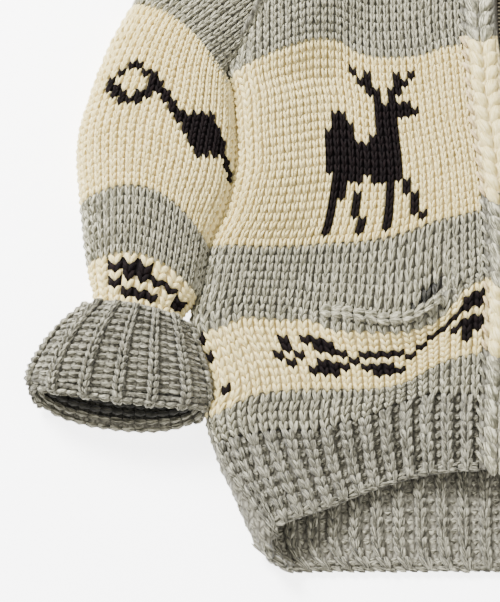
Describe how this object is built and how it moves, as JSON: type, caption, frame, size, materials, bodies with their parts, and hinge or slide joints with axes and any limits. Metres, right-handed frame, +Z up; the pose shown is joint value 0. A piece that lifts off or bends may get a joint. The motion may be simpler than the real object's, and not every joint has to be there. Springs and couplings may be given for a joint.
{
  "type": "cowichan cardigan",
  "caption": "Thick hand-knit zip cardigan with shawl-like collar, slit pockets, ribbed hem and turned-back cuffs, lying on its back with the zip closed.",
  "frame": {"origin": "on the surface it lies on, under the middle of its length and width", "axes": "+Z up from that surface, +Y from the hem to the collar, +X towards the wearer's left sleeve"},
  "size_m": [0.759, 0.7098, 0.0504],
  "materials": {
    "cream": "matte cream wool knit",
    "grey": "matte marled grey wool knit",
    "tape": "woven zip tape",
    "metal": "dull metal"
  },
  "bodies": {
    "cardigan": {"back": "cream", "back_hem_rib": "grey", "collar_back": "grey", "collar_left": "grey", "collar_right": "grey", "cuff_left": "grey", "cuff_right": "grey", "front_band_left": "cream", "front_band_right": "cream", "front_hem_rib_left": "grey", "front_hem_rib_right": "grey", "front_left": "cream", "front_right": "cream", "pocket_lining_left": "grey", "pocket_lining_right": "grey", "sleeve_left": "cream", "sleeve_right": "cream", "zip_chain": "metal", "zip_slider": "metal", "zip_tape_left": "tape", "zip_tape_right": "tape"},
    "pull_tab": {"zip_pull": "metal"}
  },
  "joints": [
    {"name": "pull_tab_hinge", "type": "hinge", "parent": "cardigan", "child": "pull_tab", "pos_m": [0, 0.17314, 0.0246], "axis": [-1, 0, 0], "range_deg": [0, 150]}
  ]
}
